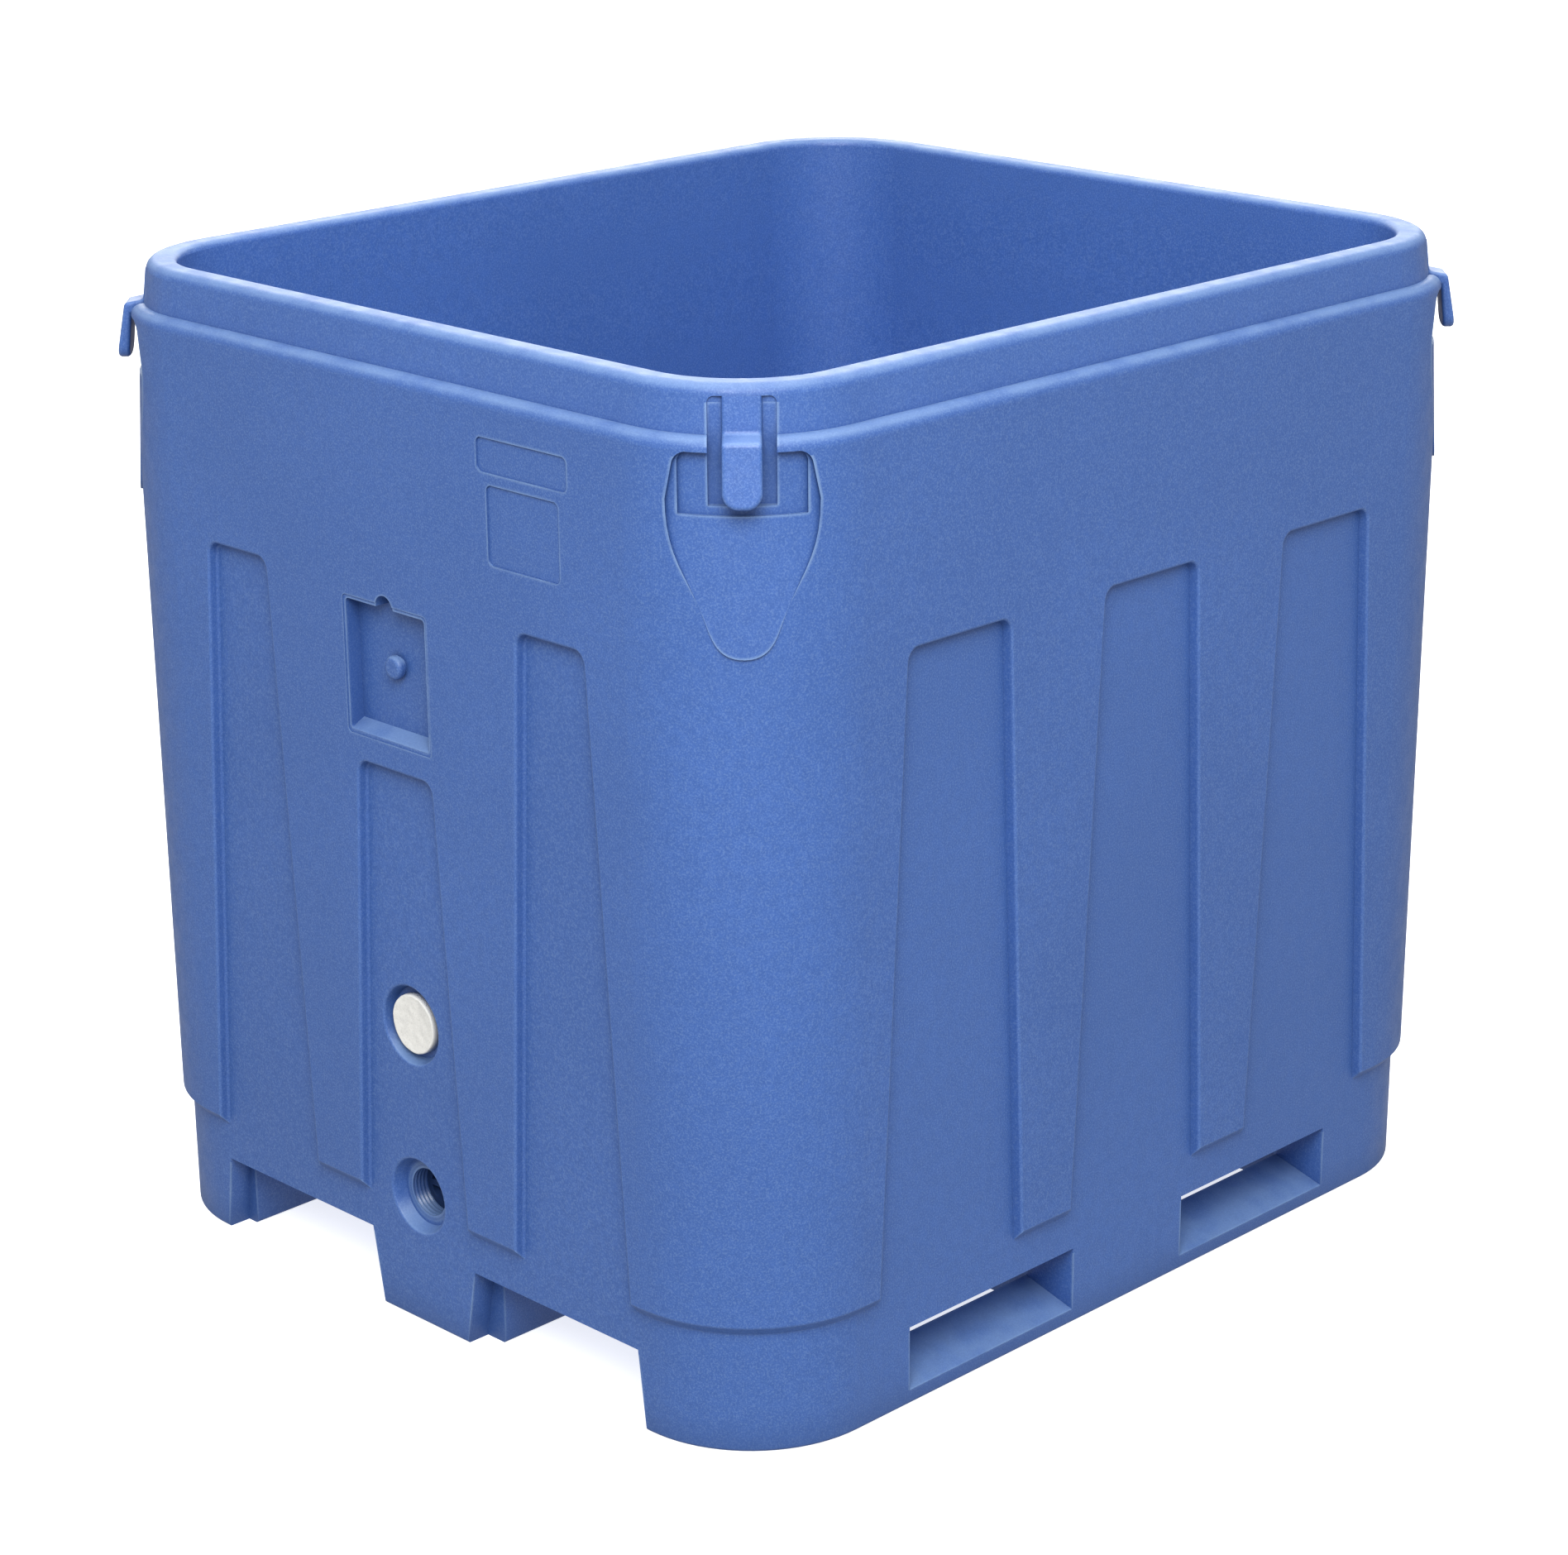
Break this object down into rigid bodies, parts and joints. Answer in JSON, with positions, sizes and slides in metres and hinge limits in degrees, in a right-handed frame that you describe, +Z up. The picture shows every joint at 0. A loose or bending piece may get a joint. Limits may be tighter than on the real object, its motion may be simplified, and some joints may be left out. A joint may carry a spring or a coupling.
{
  "type": "intermediate bulk container",
  "caption": "Open-top insulated bulk container: a double-walled moulded plastic tub with tapering ribs on a runner base with four-way fork pockets, corner lid hooks and a screw drain plug.",
  "frame": {"origin": "on the floor, under the middle of the tub", "axes": "+Z up; -Y out of the front face, which holds the card recess, the foam port and the drain; Y is the long side of the tub and X the short side"},
  "size_m": [1.068, 1.22, 1.14],
  "materials": {
    "blue_polyethylene": "rotationally moulded polyethylene, faint orange peel",
    "hook_polyethylene": "solid moulded polyethylene, scuffed edges",
    "white_polyethylene": "cream polyethylene, cut and welded by hand",
    "drain_fitting": "dark blue threaded bush",
    "drain_plug_plastic": "dark injection-moulded plug",
    "seal_rubber": "smooth black rubber",
    "insulating_foam": "pale yellow rigid polyurethane foam, never seen"
  },
  "bodies": {
    "tub": {"outer_shell": "blue_polyethylene", "rim_collar": "blue_polyethylene", "inner_liner": "blue_polyethylene", "base_deck": "blue_polyethylene", "runner_left": "blue_polyethylene", "runner_middle": "blue_polyethylene", "runner_right": "blue_polyethylene", "card_stud": "blue_polyethylene", "hook_front_left": "hook_polyethylene", "hook_front_right": "hook_polyethylene", "hook_back_left": "hook_polyethylene", "hook_back_right": "hook_polyethylene", "foam_front_middle": "insulating_foam", "foam_front_side_left": "insulating_foam", "foam_front_side_right": "insulating_foam", "foam_back": "insulating_foam", "foam_left": "insulating_foam", "foam_right": "insulating_foam", "foam_front_left": "insulating_foam", "foam_front_right": "insulating_foam", "foam_back_left": "insulating_foam", "foam_back_right": "insulating_foam", "floor_foam": "insulating_foam", "foam_fill_plug": "white_polyethylene", "drain_bush": "drain_fitting"},
    "drain_seal_ring": {"drain_seal": "seal_rubber"},
    "drain_plug_body": {"drain_plug": "drain_plug_plastic"}
  },
  "joints": [
    {"name": "drain_plug_travel", "type": "slide", "parent": "tub", "child": "drain_seal_ring", "axis": [0, -1, 0], "range_m": [0, 0.0401]},
    {"name": "drain_plug_turn", "type": "hinge", "parent": "drain_seal_ring", "child": "drain_plug_body", "pos_m": [-0.005, -0.554, 0.155], "axis": [0, -1, 0], "range_deg": [0, 2880]}
  ],
  "couplings": [
    {"joint": "drain_plug_travel", "follows": "drain_plug_turn", "m_per_rad": 0.00079577}
  ]
}
